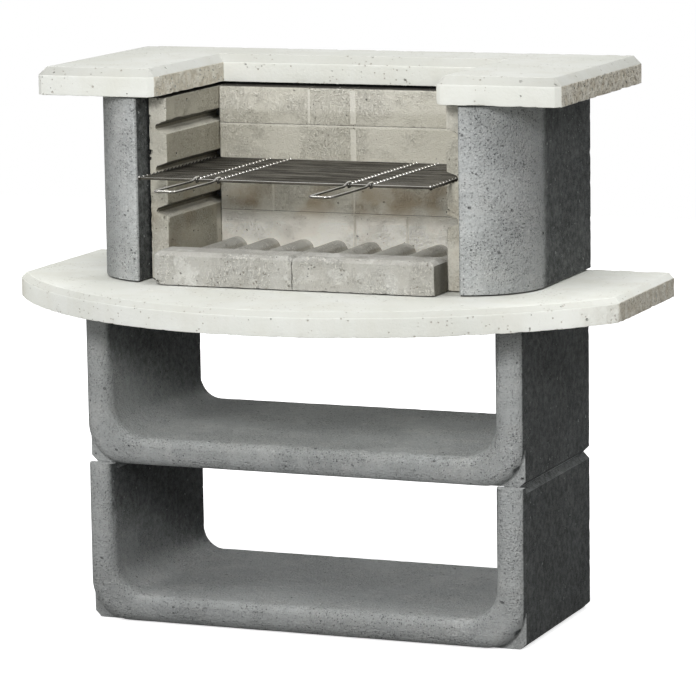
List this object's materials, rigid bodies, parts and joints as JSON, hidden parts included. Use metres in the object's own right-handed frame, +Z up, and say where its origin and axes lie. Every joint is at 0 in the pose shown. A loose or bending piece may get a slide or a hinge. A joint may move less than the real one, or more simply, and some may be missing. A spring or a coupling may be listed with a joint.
{
  "type": "outdoor masonry barbecue",
  "caption": "Free-standing masonry barbecue: stacked U blocks under a bowed worktop, firebrick hearth between pillars, slide-out wire grill, U-shaped top slab.",
  "frame": {"origin": "on the ground, in the middle of the whole object's box", "axes": "+X to the right as seen from the front, +Y to the back, +Z up"},
  "size_m": [1.24, 0.749, 1.0865],
  "materials": {
    "grey_concrete": "cast grey concrete, matt, with small pits",
    "pale_concrete": "cast cream-white concrete, matt, with small pits and sand-coloured cut edges",
    "firebrick": "warm grey-beige pressed firebrick, matt and slightly rough",
    "hearth_brick": "lighter grey cast firebrick with chalky patches",
    "steel_wire": "bright plated steel wire, twisted on the rails"
  },
  "bodies": {
    "masonry": {"lower_u_block": "grey_concrete", "upper_u_block": "grey_concrete", "pillar_right": "grey_concrete", "pillar_left": "grey_concrete", "rear_wall": "grey_concrete", "worktop": "pale_concrete", "top_slab": "pale_concrete", "side_panel_right": "firebrick", "side_panel_left": "firebrick", "rear_brick_course1_1": "firebrick", "rear_brick_course1_2": "firebrick", "rear_brick_course1_3": "firebrick", "rear_brick_course2_1": "firebrick", "rear_brick_course2_2": "firebrick", "rear_brick_course2_3": "firebrick", "rear_brick_course3_1": "firebrick", "rear_brick_course3_2": "firebrick", "rear_brick_course4_1": "firebrick", "rear_brick_course4_2": "firebrick", "rear_brick_course4_3": "firebrick", "hearth_plate_right": "hearth_brick", "hearth_plate_left": "hearth_brick", "kerb_brick_right": "hearth_brick", "kerb_brick_left": "hearth_brick"},
    "grill": {"grill_side_rail_right": "steel_wire", "grill_side_rail_left": "steel_wire", "grill_handle_right": "steel_wire", "grill_handle_left": "steel_wire", "grill_front_rod": "steel_wire", "grill_rear_rod": "steel_wire", "grill_bars": "steel_wire"}
  },
  "joints": [
    {"name": "grill_slide", "type": "slide", "parent": "masonry", "child": "grill", "axis": [0, -1, 0], "range_m": [0, 0.3]}
  ]
}
